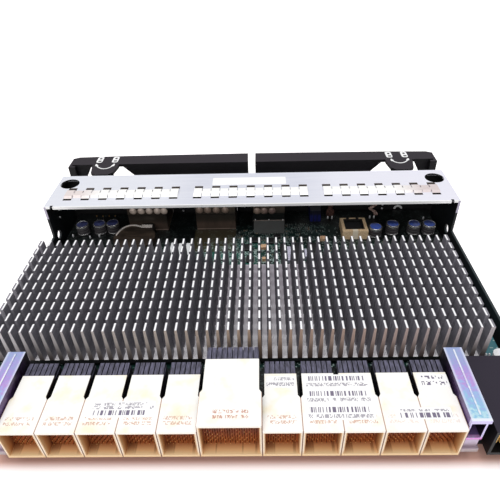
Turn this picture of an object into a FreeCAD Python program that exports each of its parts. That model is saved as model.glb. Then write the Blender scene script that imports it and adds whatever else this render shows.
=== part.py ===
import FreeCAD, Part
import math
import os

os.makedirs("parts", exist_ok=True)
V = FreeCAD.Vector

# overall module, millimetres: X across, Y from the edge connectors to the levers, Z up from the tray's underside;
# Y is 0 at the housing's open front edge, which the connectors' faces stand boardReach in front of
moduleHeight = 28.0
boardReach = 109.9
housingDepth = 29.5
sheet = 1.0
connectorFront = -boardReach

# the front row: edge connectors each side of a large one, a guide block at both ends, power at the right
narrowWidth = 12.0
narrowEachSide = 5
largeWidth = 19.2
guideWidth = 6.0
guideGap = 0.3
guideInset = 12.1
powerWidth = 20.0
powerToGuide = 2.1
boardSideGap = 2.5

# the row and its margins set the module's width
rowWidth = 2 * narrowEachSide * narrowWidth + largeWidth
leftMargin = sheet + boardSideGap + guideInset + guideWidth + guideGap
rightMargin = guideGap + guideWidth + powerToGuide + powerWidth + boardSideGap + sheet
moduleWidth = leftMargin + rowWidth + rightMargin
halfWidth = moduleWidth / 2
rowStartX = -halfWidth + leftMargin
rowEndX = rowStartX + rowWidth

# tray and board
trayFront = connectorFront + 6.9
boardFront = connectorFront + 5.9
railTop = 11.1
tabDrop = 6.6
tallWallTop = moduleHeight - tabDrop
boardThick = 1.8
boardTop = 5.8
boardLow = boardTop - boardThick
boardRearGap = 1.1
boardNotch = 7.0
trayCorner = 6.0
wallInside = halfWidth - sheet
boardHalf = wallInside - boardSideGap
frontPlateY = housingDepth - sheet

# heat sink: as many plate fins as the board has room for
finPitch = 3.6
rowPitch = 5.497
finLength = 3.75
finTop = 24.8
sinkBaseLow = 7.9
sinkBaseHigh = 9.8
finTipThick = 0.85
finRootThick = 1.75
outerFinExtra = 0.55
outerRootExtra = 0.1
sinkLeftX = -halfWidth + 6.85
sinkRightGap = 12.3
sinkRearRowY = -23.65
sinkFrontLimit = connectorFront + 34.8
finCount = 1 + int((halfWidth - sinkRightGap - outerFinExtra - sinkLeftX) / finPitch)
finRows = 1 + int((sinkRearRowY - sinkFrontLimit - finLength / 2) / rowPitch)
sinkRear = sinkRearRowY + finLength / 2
sinkFront = sinkRearRowY - (finRows - 1) * rowPitch - finLength / 2
chipSize = 35.0
chipLidInset = 4.0
chipLidThick = 0.35
chipInsetLeft = 43.65
chipInsetRight = 44.2

# power connector
powerX = boardHalf - powerWidth
powerRear = connectorFront + 28.4
powerTop = 17.8
powerBays = 3
powerWall = 0.9
powerSkin = 1.2
powerBayDepth = 8.0

# guide blocks: an overhanging cap with a ridge, a stepped foot, a square socket and a sill below it
guideFront = connectorFront + 1.0
guideRear = connectorFront + 28.4
guideTop = 22.2
guideCap = 1.5
guideCapReach = 0.9
guideFoot = 1.8
guideFootReach = 0.5
guideSocketWidth = 4.1
guideSocketLow = 13.6
guideSocketDepth = 12.0
guideSocketInset = 0.4
guideSill = 0.9
guideSillDepth = 0.8
ridgeX = 2.8
ridgeWidth = 0.5
ridgeRise = 0.25
ridgeFront = 2.0
ridgeRear = 1.0

# edge connectors: shroud, narrower hood behind it, and the wafers under and behind the hood
shroudWall = 0.85
shroudFloor = 1.0
mouthDepth = 4.3
neckInset = 0.8
neckSlope = 1.2
neckStart = connectorFront + 11.4
narrowTop = 19.2
narrowRear = connectorFront + 20.7
narrowWaferRear = connectorFront + 25.9
narrowWafers = 6
largeTop = 22.2
largeRear = connectorFront + 24.5
largeWaferRear = connectorFront + 29.6
largeWafers = 10
hoodThick = 1.6
waferInset = 0.1
waferDrop = 0.2
ribGap = 0.35
ribRoot = 0.6
fitGap = 0.05

# bezel housing: cover, front lip, faceplate and side tabs bent from one sheet
coverHoleRadius = 4.6
coverHoleX = halfWidth - 6.0
coverHoleY = housingDepth - 8.0
lipThick = 0.6
lipDrop = 1.3
lipReach = halfWidth - 4.2
reliefWidth = 1.3
reliefDepth = 1.4
sideHoleRadius = 2.2
sideHoleY = 5.0
sideHoleZ = 9.0
vents = 9
ventPitch = 4.0
ventWidth = 2.4
ventDrop = 5.0
ventHeight = 8.0
plateHoleRadius = 1.7
plateHoleX = halfWidth - 19.3
plateHoleZ = 8.7

# contact strips on the cover: long fingers reach the slots, short ones lie between them
slotWidth = 4.0
slotLength = 1.3
slotRearY = coverHoleY - 6.1
slotFrontY = slotRearY - 8.6
fingerPitch = 4.22
fingerGap = 0.42
fingerRise = 0.9
fingerThick = 0.25
fingerRamp = 1.1
fingerTuck = 0.15
shortFinger = 1.1
stripInset = 34.5
stripEdge = 9.0
stripClear = 10.0
stripSpacing = halfWidth - stripInset
stripCentres = (-stripSpacing, 0.0, stripSpacing)
fingersEachSide = int(min(halfWidth - stripEdge - stripSpacing, (stripSpacing - stripClear) / 2) / fingerPitch)

# behind the bezel, from the left: capacitors, three cages, a port, a socketed chip, capacitors
cageWidths = (19.2, 19.6, 15.6)
cageFront = housingDepth - 18.0
cageTop = moduleHeight - 3.6
cageRear = housingDepth + 0.6
cageWall = 0.6
cageBack = 2.0
cageSeamDeep = 0.3
cageSeamHalf = 0.2
cageGap = 0.15
portWidth = 5.4
portDepth = 11.0
portHeight = 6.4
plugRadius = 2.6
plugHeight = 4.3
plugX = halfWidth - 6.2
plugY = powerRear + 7.1
socketWidth = 12.4
socketFront = 1.6
socketDepth = 11.8
socketRim = 2.1
socketTop = boardTop + 4.7
socketSeat = boardTop + 1.6
socketChipThick = 2.2
chipClearance = 0.2
firstCageX = -halfWidth + 34.9
socketX = halfWidth - 52.1
freeRoom = socketX - firstCageX - sum(cageWidths) - portWidth
cageLefts = (firstCageX,
             firstCageX + cageWidths[0] + 0.318 * freeRoom,
             firstCageX + cageWidths[0] + cageWidths[1] + 0.513 * freeRoom)
portX = firstCageX + sum(cageWidths) + 0.805 * freeRoom
cages = tuple(zip(cageLefts, cageWidths))
cellRadius = 10.0
cellThick = 3.2
cellLow = boardTop + 1.5
holderRim = 0.6
terminalX = 2.4
terminalY = 6.5
terminalWidth = 5.5
terminalReach = 1.0
terminalRise = 0.2
cellX = firstCageX + 4.7
cellY = cageFront - cellRadius - 1.6

# capacitors: a can on a base with cut corners; distance in from the left wall or the right wall, and Y
capRadius = 3.15
capHeight = 5.4
capBase = 0.6
capBaseCut = 1.4
leftCaps = ((11.2, 10.4), (19.7, 11.0), (26.3, 11.4))
rightCaps = ((35.8, 4.7), (27.0, 6.9), (16.6, 6.7), (9.3, 6.5))
capSpots = [(inset - halfWidth, y) for inset, y in leftCaps]
capSpots += [(halfWidth - inset, y) for inset, y in rightCaps]

# board standoffs, across flats
standoffSize = 5.0
standoffSpots = ((-halfWidth + 8.5, connectorFront + 16.9), (-halfWidth + 7.5, housingDepth - 7.0),
                 (halfWidth - 7.5, sinkRearRowY - 18.4), (halfWidth - 7.5, housingDepth - 7.0))

# ejector levers: bent sheet, each turning on a pin between the ears of its bracket
leverPivotX = halfWidth - 19.2
leverPivotY = housingDepth + 6.9
leverTop = moduleHeight - 0.5
leverLow = 5.0
leverSheet = 1.5
leverFoldY = leverPivotY + 6.4
leverGrip = 10.0
leverOuterX = halfWidth + 1.0
leverInnerX = 2.0
leverUnder = leverTop - leverSheet
leverBend = leverUnder - 9.0
lugLeft = 6.4
lugRight = 7.6
lugTaper = 1.25
lugShoulder = 4.6
lugCheek = 2.6
lugNose = 4.9
lugNoseHalf = 2.9
gripRise = 0.2
gripSpan = 28.0
gripCorner = 3.0
gripCornerDrop = 1.2
gripEndDrop = 2.7
lowPlateSpan = 27.0
lowPlateReach = 4.5
bendRun = 9.0
skirtRun = 17.3
outerBendX = 9.1
outerSkirtX = 14.2
hookBack = 2.8
hookWidth = 3.4
pinRadius = 2.0
pinClearance = 0.05
pinEnd = 1.3
pinTopGap = 0.1
bossRadius = 3.6
bossDeep = 1.9
earThick = 1.5
earHalf = 4.0
earCut = 2.4
earGap = 0.2
bracketHalf = 7.0


def block(x0, x1, y0, y1, z0, z1):
    return Part.makeBox(x1 - x0, y1 - y0, z1 - z0, V(x0, y0, z0))


def rod(x, y, z, radius, length, axis):
    return Part.makeCylinder(radius, length, V(x, y, z), axis)


def fuse(shapes):
    joined = shapes[0]
    if len(shapes) > 1:
        joined = joined.multiFuse(shapes[1:])
    return joined.removeSplitter()


def cut(shape, tools):
    return shape.cut(tools) if tools else shape


def prismZ(points, z0, z1):
    wire = Part.makePolygon([V(x, y, z0) for x, y in points] + [V(points[0][0], points[0][1], z0)])
    return Part.Face(wire).extrude(V(0, 0, z1 - z0))


def prismY(points, y0, y1):
    wire = Part.makePolygon([V(x, y0, z) for x, z in points] + [V(points[0][0], y0, points[0][1])])
    return Part.Face(wire).extrude(V(0, y1 - y0, 0))


def prismX(points, x0, x1):
    wire = Part.makePolygon([V(x0, y, z) for y, z in points] + [V(x0, points[0][0], points[0][1])])
    return Part.Face(wire).extrude(V(x1 - x0, 0, 0))


def flipX(shape):
    return shape.mirror(V(0, 0, 0), V(1, 0, 0))


def save(name, shape):
    solids = shape.Solids
    if len(solids) == 1:
        shape = solids[0]
    shape.exportStep("parts/%s.step" % name)
    print(name, len(solids), "valid" if shape.isValid() else "BROKEN")


def hexOutline(x, y, acrossFlats):
    radius = acrossFlats / math.sqrt(3)
    return [(x + radius * math.cos(k * math.pi / 3), y + radius * math.sin(k * math.pi / 3)) for k in range(6)]


def sideHole(side):
    return rod(side * (halfWidth + 1), sideHoleY, sideHoleZ, sideHoleRadius, sheet + 2, V(-side, 0, 0))


def baseTray():
    outer, inner = halfWidth, wallInside
    channel = prismY([(-outer, 0), (outer, 0), (outer, railTop), (inner, railTop), (inner, sheet), (-inner, sheet),
                      (-inner, railTop), (-outer, railTop)], trayFront, frontPlateY)
    parts = [channel]
    for side in (-1, 1):
        x0, x1 = sorted((side * wallInside, side * halfWidth))
        parts.append(block(x0, x1, 0, frontPlateY, railTop - 1, tallWallTop))
    for x, y in standoffSpots:
        parts.append(prismZ(hexOutline(x, y, standoffSize), sheet, boardLow))
    corner = [(trayFront, railTop), (trayFront + trayCorner, railTop), (trayFront, railTop - trayCorner)]
    return cut(fuse(parts), [prismX(corner, -halfWidth - 1, halfWidth + 1), sideHole(-1), sideHole(1)])


def circuitBoard():
    left, right, rear = -boardHalf, boardHalf, frontPlateY - boardRearGap
    outline = [(left + boardNotch, boardFront), (right, boardFront), (right, rear), (left, rear),
               (left, boardFront + boardNotch), (left + boardNotch, boardFront + boardNotch)]
    return prismZ(outline, boardLow, boardTop)


def heatSink():
    span = finPitch * (finCount - 1)
    left = sinkLeftX
    points = []
    tip, root = finTipThick / 2, finRootThick / 2
    for i in range(finCount):
        x = left + i * finPitch
        low, high = root, root
        tipLow, tipHigh = tip, tip
        if i == 0:
            low, tipLow = root + outerRootExtra, tip + outerFinExtra
        if i == finCount - 1:
            high, tipHigh = root + outerRootExtra, tip + outerFinExtra
        points += [(x - low, sinkBaseHigh), (x - tipLow, finTop)]
        points += [(x + tipHigh, finTop), (x + high, sinkBaseHigh)]
    first, last = points[0], points[-1]
    outline = [(first[0], sinkBaseLow)] + points + [(last[0], sinkBaseLow)]
    comb = prismY(outline, sinkFront, sinkRear)
    slots = []
    for r in range(finRows - 1):
        y = sinkRearRowY - r * rowPitch - rowPitch / 2
        half = (rowPitch - finLength) / 2
        slots.append(block(left - 5, left + span + 5, y - half, y + half, sinkBaseHigh, finTop + 1))
    return comb.cut(slots)


def mainChip(x):
    y = (sinkFront + sinkRear) / 2
    half, lidHalf, lidLow = chipSize / 2, chipSize / 2 - chipLidInset, sinkBaseLow - chipLidThick
    body = block(x - half, x + half, y - half, y + half, boardTop, lidLow)
    lid = block(x - lidHalf, x + lidHalf, y - lidHalf, y + lidHalf, lidLow, sinkBaseLow)
    return fuse([body, lid])


def connectorSpans():
    widths = [narrowWidth] * narrowEachSide + [largeWidth] + [narrowWidth] * narrowEachSide
    spans, x = [], rowStartX
    for i, width in enumerate(widths):
        spans.append((x, x + width, i == narrowEachSide))
        x += width
    return spans


def connectorHousing(x0, x1, large):
    top = largeTop if large else narrowTop
    rear = largeRear if large else narrowRear
    a, b = x0 + fitGap / 2, x1 - fitGap / 2
    shroud = block(a, b, connectorFront, neckStart, boardTop, top)
    mouth = block(a + shroudWall, b - shroudWall, connectorFront - 1, connectorFront + mouthDepth,
                  boardTop + shroudFloor, top - shroudFloor)
    neckEnd = neckStart + neckSlope
    hood = prismZ([(a, neckStart), (b, neckStart), (b - neckInset, neckEnd), (b - neckInset, rear),
                   (a + neckInset, rear), (a + neckInset, neckEnd)], top - hoodThick, top)
    return cut(fuse([shroud, hood]), [mouth])


def connectorWafers(x0, x1, large):
    hoodTop = largeTop if large else narrowTop
    hoodLow = hoodTop - hoodThick
    hoodRear = (largeRear if large else narrowRear) + fitGap
    rear = largeWaferRear if large else narrowWaferRear
    count = largeWafers if large else narrowWafers
    a, b = x0 + neckInset + waferInset, x1 - neckInset - waferInset
    core = block(a, b, neckStart + fitGap, rear, boardTop, hoodLow - fitGap)
    step = (b - a) / count
    parts = [core]
    for i in range(count):
        left = a + i * step + ribGap / 2
        parts.append(block(left, left + step - ribGap, hoodRear, rear, hoodLow - ribRoot, hoodTop - waferDrop))
    return fuse(parts)


def guideBlock(x0):
    x1, bodyX = x0 + guideWidth, x0 + guideWidth - guideCapReach
    front, rear = guideFront, guideRear
    body = block(x0, bodyX, front, rear, boardTop, guideTop)
    cap = block(x0, x1, front, rear, guideTop - guideCap, guideTop)
    ridge = block(x0 + ridgeX, x0 + ridgeX + ridgeWidth, front + ridgeFront, rear - ridgeRear,
                  guideTop, guideTop + ridgeRise)
    foot = block(x0, bodyX + guideFootReach, front, rear, boardTop, boardTop + guideFoot)
    s0 = x0 + guideSocketInset
    socket = block(s0, s0 + guideSocketWidth, front - 1, front + guideSocketDepth,
                   guideSocketLow, guideTop - guideCap)
    sill = block(s0, x1, front - 1, front + guideSillDepth, boardTop + guideFoot, guideSocketLow - guideSill)
    return cut(fuse([body, cap, ridge, foot]), [socket, sill])


def powerConnector():
    body = block(powerX, powerX + powerWidth, connectorFront, powerRear, boardTop, powerTop)
    step = powerWidth / powerBays
    bays = []
    for i in range(powerBays):
        a, b = powerX + i * step + powerWall, powerX + (i + 1) * step - powerWall
        bays.append(block(a, b, connectorFront - 1, connectorFront + powerBayDepth,
                          boardTop + powerSkin, powerTop - powerSkin))
    return cut(body, bays)


def fingerSpots(centre):
    # X of every finger of a strip, and whether it is a long one
    half = fingersEachSide
    return [(centre + k * fingerPitch, (k + half) % 2 == 0) for k in range(-half, half + 1)]


def coverCuts():
    tools = []
    low, high = moduleHeight - sheet - 1, moduleHeight + 1
    for side in (-1, 1):
        tools.append(rod(side * coverHoleX, coverHoleY, low, coverHoleRadius, high - low, V(0, 0, 1)))
        a, b = sorted((side * lipReach, side * (lipReach + reliefWidth)))
        tools.append(block(a, b, -1, reliefDepth, moduleHeight - lipDrop - 1, high))
    for centre in stripCentres:
        for x in [x for x, isLong in fingerSpots(centre) if isLong]:
            for y in (slotFrontY - slotLength / 2, slotRearY - slotLength / 2):
                tools.append(block(x - slotWidth / 2, x + slotWidth / 2, y, y + slotLength, low, high))
    return tools


def faceplateCuts():
    low, high = frontPlateY - 1, housingDepth + 1
    tools = [rod(plateHoleX, low, plateHoleZ, plateHoleRadius, high - low, V(0, 1, 0))]
    for x, width in cages:
        tools.append(block(x - cageGap, x + width + cageGap, low, high, boardTop - cageGap, cageTop + cageGap))
    ventTop = moduleHeight - ventDrop
    for k in range(vents):
        x = portX + ventPitch * (k - 1)
        tools.append(block(x, x + ventWidth, low, high, ventTop - ventHeight, ventTop))
    return tools


def bezelHousing():
    top, under = moduleHeight, moduleHeight - sheet
    section = [(0, top), (0, under), (frontPlateY, under), (frontPlateY, 0), (housingDepth, 0), (housingDepth, top)]
    hat = prismX(section, -halfWidth, halfWidth)
    parts = [hat, block(-lipReach, lipReach, 0, lipThick, top - lipDrop, top)]
    for side in (-1, 1):
        a, b = sorted((side * wallInside, side * halfWidth))
        parts.append(block(a, b, 0, frontPlateY, top - tabDrop, top))
    return cut(fuse(parts), coverCuts() + faceplateCuts())


def fingerProfile(front, rear):
    # Y and Z of a bowed leaf of spring strip: up a ramp, flat, and down again, one thickness deep
    seat, top, deep = moduleHeight, moduleHeight + fingerRise, fingerThick
    rise, fall = front + fingerRamp, rear - fingerRamp
    return [(front, seat), (rise, top), (fall, top), (rear, seat),
            (rear - deep, seat), (fall - deep / 2, top - deep), (rise + deep / 2, top - deep), (front + deep, seat)]


def emiStrip(centre):
    # the fingers' rear halves stand apart; a spine joins their front halves and rests on the cover
    half = (fingerPitch - fingerGap) / 2
    parts = []
    for x, isLong in fingerSpots(centre):
        draw = slotLength / 2 - fingerTuck if isLong else shortFinger
        parts.append(prismX(fingerProfile(slotFrontY + draw, slotRearY - draw), x - half, x + half))
    length = fingerPitch * fingersEachSide + half
    parts.append(block(centre - length, centre + length, slotFrontY + shortFinger + fingerRamp,
                       (slotFrontY + slotRearY) / 2, moduleHeight, moduleHeight + fingerRise))
    return fuse(parts)


def portCage(x, width):
    y = cageFront
    body = block(x, x + width, y, cageRear, boardTop, cageTop)
    mid = (boardTop + cageTop) / 2
    a, b, inside = x + cageWall, x + width - cageWall, y + cageBack
    inner = [block(a, b, inside, cageRear + 1, boardTop + cageWall, mid - cageWall),
             block(a, b, inside, cageRear + 1, mid + cageWall, cageTop - cageWall)]
    seam = block(x - 1, x + width + 1, y - 1, y + cageSeamDeep, mid - cageSeamHalf, mid + cageSeamHalf)
    return cut(body, inner + [seam])


def capacitor(x, y):
    r, c, top = capRadius, capRadius - capBaseCut, boardTop + capBase
    outline = [(-r, -r), (r, -r), (r, c), (c, r), (-c, r), (-r, c)]
    base = prismZ([(x + dx, y + dy) for dx, dy in outline], boardTop, top)
    return fuse([base, rod(x, y, top, capRadius, capHeight - capBase, V(0, 0, 1))])


def socketBlock(inset, z0, z1):
    return block(socketX + inset, socketX + socketWidth - inset,
                 socketFront + inset, socketFront + socketDepth - inset, z0, z1)


def chipSocket():
    return socketBlock(0, boardTop, socketTop).cut(socketBlock(socketRim, socketSeat, socketTop + 1))


def socketChip():
    return socketBlock(socketRim + chipClearance, socketSeat, socketSeat + socketChipThick)


def coinCell():
    return rod(cellX, cellY, cellLow, cellRadius, cellThick, V(0, 0, 1))


def cellHolder():
    # an eight-sided seat with a raised terminal block behind the cell
    reach = (cellRadius + holderRim) / math.cos(math.pi / 8)
    turns = [(k + 0.5) * math.pi / 4 for k in range(8)]
    outline = [(cellX + reach * math.cos(t), cellY + reach * math.sin(t)) for t in turns]
    x0, top = cellX + terminalX, cellLow + cellThick + terminalRise
    terminal = block(x0, x0 + terminalWidth, cellY + terminalY, cellY + cellRadius + terminalReach, boardTop, top)
    pocket = rod(cellX, cellY, cellLow, cellRadius + fitGap, 2 * cellThick, V(0, 0, 1))
    return fuse([prismZ(outline, boardTop, cellLow), terminal]).cut(pocket)


def bluePort():
    rear = frontPlateY - fitGap
    return block(portX, portX + portWidth, frontPlateY - portDepth, rear, boardTop, boardTop + portHeight)


def cornerPlug():
    return rod(plugX, plugY, boardTop, plugRadius, plugHeight, V(0, 0, 1))


def lugOutline():
    # the tongue about the pin: straight at the fold, narrowing to a blunt nose before the cover
    px, left, right = leverPivotX, leverPivotX - lugLeft, leverPivotX + lugRight
    shoulder, cheek, nose = leverPivotY + lugShoulder, leverPivotY - lugCheek, leverPivotY - lugNose
    return [(left, leverFoldY), (left, shoulder), (left + lugTaper, cheek), (px - lugNoseHalf, nose),
            (px + lugNoseHalf, nose), (right - lugTaper, cheek), (right, shoulder), (right, leverFoldY)]


def leverTopPlate(z0, z1):
    rearY, outerX = leverFoldY + leverGrip, leverOuterX
    edge = [(outerX, leverFoldY), (outerX, rearY - gripEndDrop), (outerX - gripCorner, rearY - gripCornerDrop),
            (leverPivotX - bendRun, rearY - 2 * gripRise), (leverInnerX + gripSpan, rearY),
            (leverInnerX, rearY + gripRise)]
    return prismZ([(leverInnerX, leverFoldY)] + lugOutline() + edge, z0, z1)


def leverLowPlate(z0, z1):
    rearY, innerX = leverFoldY + lowPlateReach, leverPivotX - lowPlateSpan
    edge = [(leverOuterX, leverFoldY), (leverOuterX, rearY), (innerX, rearY)]
    return prismZ([(innerX, leverFoldY)] + lugOutline() + edge, z0, z1)


def leverRight():
    fold, t, under, bend = leverFoldY, leverSheet, leverUnder, leverBend
    px, outerX = leverPivotX, leverOuterX
    skirtX, topX = px - skirtRun, px - skirtRun + bendRun
    inner = prismY([(leverInnerX, leverLow), (skirtX, leverLow), (skirtX, bend), (topX, under),
                    (leverInnerX, under)], fold, fold + t)
    outer = prismY([(px + outerSkirtX, leverLow), (outerX, leverLow), (outerX, under), (px + outerBendX, under),
                    (px + outerSkirtX, bend)], fold, fold + t)
    hookY, hookEnd = fold - hookBack, fold + leverGrip - gripCorner
    hook = prismZ([(outerX - hookWidth, hookY), (outerX, hookY), (outerX, hookEnd), (outerX - t, hookEnd),
                   (outerX - t, hookY + t), (outerX - hookWidth, hookY + t)], leverLow, leverTop)
    tip = block(leverInnerX, leverInnerX + t, fold, fold + leverGrip - gripCornerDrop, leverLow, leverTop)
    boss = rod(px, leverPivotY, under - bossDeep, bossRadius, bossDeep, V(0, 0, 1))
    plates = [leverTopPlate(under, leverTop), leverLowPlate(leverLow, leverLow + t)]
    bore = rod(px, leverPivotY, leverLow - 1, pinRadius + pinClearance, under - leverLow + 1, V(0, 0, 1))
    return fuse(plates + [inner, outer, hook, tip, boss]).cut(bore)


def pivotBracketRight():
    px, py, y0 = leverPivotX, leverPivotY, housingDepth
    low, high = leverLow + leverSheet + earGap, leverUnder - bossDeep - earGap
    parts = [block(px - bracketHalf, px + bracketHalf, y0, y0 + earThick, low, high)]
    flat = earHalf - earCut
    ear = [(px - earHalf, y0), (px + earHalf, y0), (px + earHalf, py + flat), (px + flat, py + earHalf),
           (px - flat, py + earHalf), (px - earHalf, py + flat)]
    for z in (low, high - earThick):
        parts.append(prismZ(ear, z, z + earThick))
    return fuse(parts).cut(rod(px, py, 0, pinRadius, leverTop, V(0, 0, 1)))


def pivotPinRight():
    length = leverUnder - pinTopGap - leverLow + pinEnd
    return rod(leverPivotX, leverPivotY, leverLow - pinEnd, pinRadius, length, V(0, 0, 1))


save("base_tray", baseTray())
save("circuit_board", circuitBoard())
save("heat_sink", heatSink())
sinkRightX = sinkLeftX + (finCount - 1) * finPitch
for n, x in enumerate((sinkLeftX + chipInsetLeft, sinkRightX - chipInsetRight)):
    save("main_chip_%d" % (n + 1), mainChip(x))
for n, (x0, x1, large) in enumerate(connectorSpans()):
    save("connector_housing_%02d" % (n + 1), connectorHousing(x0, x1, large))
    save("connector_wafers_%02d" % (n + 1), connectorWafers(x0, x1, large))
save("guide_block_right", guideBlock(rowEndX + guideGap))
save("guide_block_left", flipX(guideBlock(0)).translated(V(rowStartX - guideGap, 0, 0)))
save("power_connector", powerConnector())
save("bezel_housing", bezelHousing())
for label, centre in zip(("left", "centre", "right"), stripCentres):
    save("emi_strip_" + label, emiStrip(centre))
for n, (x, width) in enumerate(cages):
    save("port_cage_%d" % (n + 1), portCage(x, width))
for n, (x, y) in enumerate(capSpots):
    save("capacitor_%d" % (n + 1), capacitor(x, y))
save("chip_socket", chipSocket())
save("socket_chip", socketChip())
save("coin_cell", coinCell())
save("cell_holder", cellHolder())
save("blue_port", bluePort())
save("corner_plug", cornerPlug())
for name, make in (("lever", leverRight), ("pivot_bracket", pivotBracketRight), ("pivot_pin", pivotPinRight)):
    shape = make()
    save(name + "_right", shape)
    save(name + "_left", flipX(shape))
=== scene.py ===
import math
import bpy
import numpy as np
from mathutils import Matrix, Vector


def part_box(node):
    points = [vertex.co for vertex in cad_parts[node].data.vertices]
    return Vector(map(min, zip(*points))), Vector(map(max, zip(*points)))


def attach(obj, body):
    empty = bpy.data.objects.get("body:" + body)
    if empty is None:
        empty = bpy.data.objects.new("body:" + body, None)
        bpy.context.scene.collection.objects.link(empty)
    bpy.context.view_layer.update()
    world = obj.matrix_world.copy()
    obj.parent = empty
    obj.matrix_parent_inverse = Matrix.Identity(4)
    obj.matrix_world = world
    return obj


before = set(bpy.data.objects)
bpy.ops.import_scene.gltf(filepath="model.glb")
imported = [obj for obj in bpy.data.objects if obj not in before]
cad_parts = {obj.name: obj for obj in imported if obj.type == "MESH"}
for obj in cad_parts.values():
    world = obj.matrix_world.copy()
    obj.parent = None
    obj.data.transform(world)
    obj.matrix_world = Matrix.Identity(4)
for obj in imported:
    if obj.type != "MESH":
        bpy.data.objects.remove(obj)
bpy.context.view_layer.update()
mm = 0.001
rng = np.random.default_rng(7)
print("frame loaded:", len(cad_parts), "nodes")


# camera and lamps; lengths in millimetres, angles in degrees, power in watts
view = {"lens": 34.56, "sensor": 36.0, "shiftX": -0.0088,
        "place": (5.759, -188.131, 146.605), "turn": (52.300, 1.313, 0.3595)}
light = {"world": 0.46, "aim": (0, -30, 0),
         "key": {"place": (-60, -90, 900), "size": 800, "power": 5.2},
         "fill": {"place": (-250, -900, 420), "size": 700, "power": 2.4}}


def box(node):
    # a node's lowest and highest corners, millimetres
    low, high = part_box(node)
    return np.array(low) / mm, np.array(high) / mm


def numbered(stem, count, width=1):
    return [f"{stem}_{n:0{width}d}" for n in range(1, count + 1)]


def tone(red, green, blue):
    # a colour as the eye reads it, 0 to 255, turned into the linear values that a shader takes
    share = np.array([red, green, blue]) / 255
    linear = np.where(share <= 0.04045, share / 12.92, ((share + 0.055) / 1.055) ** 2.4)
    return tuple(float(v) for v in linear)


connectorNames = numbered("connector_housing", 11, 2)
capacitorNames = numbered("capacitor", 7)
boardTop = box("circuit_board")[1][2]
coverTop = box("bezel_housing")[1][2]
leverTop = box("lever_left")[1][2]
cageFace = box("port_cage_1")[0][1]
canTop = box("capacitor_1")[1][2]
rowFront = box(connectorNames[0])[0][1]


# shader maths as expressions, one material per finish

class Wire:
    # an output socket; the operators add Math nodes, so a pattern reads as one expression
    def __init__(self, finish, socket):
        self.finish, self.socket = finish, socket

    def math(self, operation, *others):
        values = {i: v for i, v in enumerate((self,) + others)}
        return self.finish.node("Math", {"operation": operation}, values)

    def __add__(self, other):
        return self.math("ADD", other)

    def __sub__(self, other):
        return self.math("SUBTRACT", other)

    def __rsub__(self, other):
        return self.finish.node("Math", {"operation": "SUBTRACT"}, {0: other, 1: self})

    def __mul__(self, other):
        return self.math("MULTIPLY", other)

    def __truediv__(self, other):
        return self.math("DIVIDE", other)

    def __gt__(self, other):
        return self.math("GREATER_THAN", other)

    def __lt__(self, other):
        return self.math("LESS_THAN", other)

    def __abs__(self):
        return self.math("ABSOLUTE")

    __radd__, __rmul__ = __add__, __mul__

    def wrap(self, period):
        return self.math("WRAP", period, 0.0)

    def either(self, other):
        return self.math("MAXIMUM", other)

    def cell(self, size):
        # which cell of that size the value falls in
        return (self / size).math("FLOOR")

    def within(self, low, high):
        return (self > low) * (self < high)

    def soft(self, low, high):
        # 0 below low, 1 above high, straight between; high may be the lower number
        ends = {"Value": self, "From Min": low, "From Max": high}
        return self.finish.node("MapRange", {"clamp": True}, ends)


class Nodes:
    # any node tree; a colour is written as three numbers from 0 to 255, as the eye reads it
    def __init__(self, tree):
        self.tree = tree

    def give(self, socket, value):
        if isinstance(value, Wire):
            self.tree.links.new(value.socket, socket)
        elif hasattr(value, "__len__") and len(value) == 3 and socket.type == "RGBA":
            socket.default_value = (*tone(*value), 1.0)
        else:
            socket.default_value = value

    def node(self, kind, settings=None, values=None, out=0):
        # any node: its settings first, then the values or links of its sockets
        made = self.tree.nodes.new("ShaderNode" + kind)
        for key, value in (settings or {}).items():
            if key == "stops":
                self.setStops(made.color_ramp, value)
            else:
                setattr(made, key, value)
        for key, value in (values or {}).items():
            self.give(made.inputs[key], value)
        return Wire(self, made.outputs[out])

    def setStops(self, ramp, stops):
        while len(ramp.elements) < len(stops):
            ramp.elements.new(0.5)
        for element, (place, colour) in zip(ramp.elements, stops):
            element.position, element.color = place, (*tone(*colour), 1.0)

    def ramp(self, factor, *stops):
        return self.node("ValToRGB", {"stops": stops}, {"Fac": factor})

    def mix(self, factor, a, b):
        return self.node("Mix", {"data_type": "RGBA"}, {0: factor, 6: a, 7: b}, out=2)

    def seen(self):
        # 1 for what the camera sees, straight on or in something shiny
        path = self.node("LightPath").socket.node
        return Wire(self, path.outputs["Is Camera Ray"]).either(Wire(self, path.outputs["Is Glossy Ray"]))


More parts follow.
